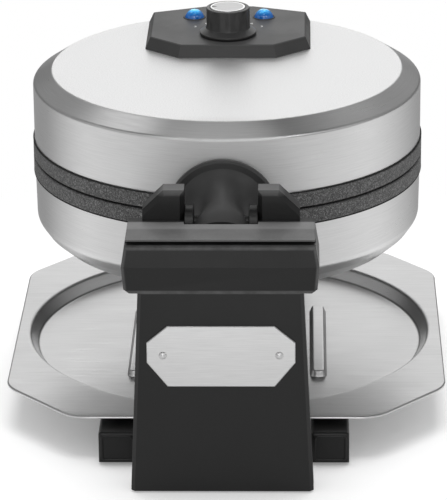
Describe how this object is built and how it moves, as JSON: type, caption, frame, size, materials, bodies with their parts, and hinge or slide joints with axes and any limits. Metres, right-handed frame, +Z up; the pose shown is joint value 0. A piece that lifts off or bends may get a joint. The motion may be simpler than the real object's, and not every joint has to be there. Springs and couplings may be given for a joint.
{
  "type": "rotary belgian waffle maker",
  "caption": "Round flip-over waffle maker with a hinged steel lid, folding black handle, top control panel and a square drip tray under the head.",
  "frame": {"origin": "on the floor under the middle of the round head, which is the middle of the box that holds the part", "axes": "+Z up, -Y towards the user and the folded handle, +Y towards the stand, +X to the user's right; the flip axis runs along Y at 136 mm"},
  "size_m": [0.248, 0.362, 0.2089],
  "materials": {
    "shell_steel": "pressed stainless steel, finely brushed",
    "band_grey": "dark grey heat-resistant moulding with fine pale speckle",
    "handle_black": "black heat-resistant plastic, fine matte grain",
    "base_black": "black plastic, matte",
    "panel_grey": "dark grey plastic, fine matte grain",
    "knob_gloss": "black gloss plastic",
    "cap_alloy": "spun aluminium disc",
    "blue_lens": "clear blue lens, glossy",
    "lamp_clear": "clear epoxy",
    "board_green": "fibreglass board with green mask",
    "thermostat_body": "cream phenolic",
    "nonstick": "cast aluminium with black non-stick coat",
    "element_steel": "heat-tinted steel tube",
    "reflector_alloy": "bright rolled aluminium sheet",
    "ceramic_white": "white steatite",
    "zinc_steel": "zinc-plated steel",
    "cast_alloy": "die-cast alloy, as cast",
    "bronze": "sintered bronze",
    "tray_steel": "pressed stainless steel, satin",
    "plate_steel": "stainless plate, brushed lengthways",
    "foot_rubber": "black rubber"
  },
  "bodies": {
    "base": {"base_frame": "base_black", "base_plate": "zinc_steel", "rubber_feet": "foot_rubber", "bearing_column": "cast_alloy", "flanged_bushes": "bronze", "stop_pin": "zinc_steel", "column_screws": "zinc_steel", "stand_shell": "base_black", "stand_back_cover": "base_black", "cover_screws": "zinc_steel", "cord_gland": "foot_rubber"},
    "tray": {"drip_tray": "tray_steel"},
    "head": {"lower_shell": "shell_steel", "lower_band": "band_grey", "lower_plate_ring": "nonstick", "lower_baking_plate": "nonstick", "lower_heating_element": "element_steel", "lower_reflector": "reflector_alloy", "lower_insulators": "ceramic_white", "lower_plate_screws": "zinc_steel", "lower_posts": "zinc_steel", "lower_shell_screws": "zinc_steel", "thermal_cutout": "element_steel", "pivot_bracket": "cast_alloy", "bracket_screws": "zinc_steel", "hinge_pin": "zinc_steel", "flip_shaft": "zinc_steel", "stop_collar": "zinc_steel", "thrust_washer": "zinc_steel", "retaining_clip": "zinc_steel"},
    "lid": {"lid_shell": "shell_steel", "upper_band": "band_grey", "upper_plate_ring": "nonstick", "upper_baking_plate": "nonstick", "upper_heating_element": "element_steel", "upper_reflector": "reflector_alloy", "upper_insulators": "ceramic_white", "upper_plate_screws": "zinc_steel", "lid_posts": "zinc_steel", "control_panel": "panel_grey", "panel_screws": "zinc_steel", "power_lens": "blue_lens", "ready_lens": "blue_lens", "indicator_board": "board_green", "indicator_lamps": "lamp_clear", "thermostat": "thermostat_body", "hinge_leaf": "cast_alloy", "leaf_screws": "zinc_steel", "handle_neck": "handle_black", "neck_screws": "zinc_steel"},
    "handle": {"handle_back": "handle_black", "handle_front_cover": "handle_black", "handle_screws": "zinc_steel", "handle_plate": "plate_steel", "plate_rivets": "plate_steel", "handle_pin": "zinc_steel", "handle_spacers": "handle_black"},
    "knob": {"control_knob": "knob_gloss", "knob_cap": "cap_alloy", "thermostat_spindle": "zinc_steel"}
  },
  "joints": [
    {"name": "head_flip", "type": "hinge", "parent": "base", "child": "head", "pos_m": [0, 0.15, 0.136], "axis": [0, 1, 0], "range_deg": [-180, 0]},
    {"name": "lid_open", "type": "hinge", "parent": "head", "child": "lid", "pos_m": [0, 0.1215, 0.152], "axis": [-1, 0, 0], "range_deg": [0, 95]},
    {"name": "handle_fold", "type": "hinge", "parent": "lid", "child": "handle", "pos_m": [0, -0.144, 0.144], "axis": [-1, 0, 0], "range_deg": [0, 90]},
    {"name": "tray_lift", "type": "slide", "parent": "base", "child": "tray", "axis": [0, 0, 1], "range_m": [0, 0.045]},
    {"name": "knob_turn", "type": "hinge", "parent": "lid", "child": "knob", "pos_m": [0, 0.0385, 0.196], "axis": [0, 0, -1], "range_deg": [0, 270]}
  ]
}
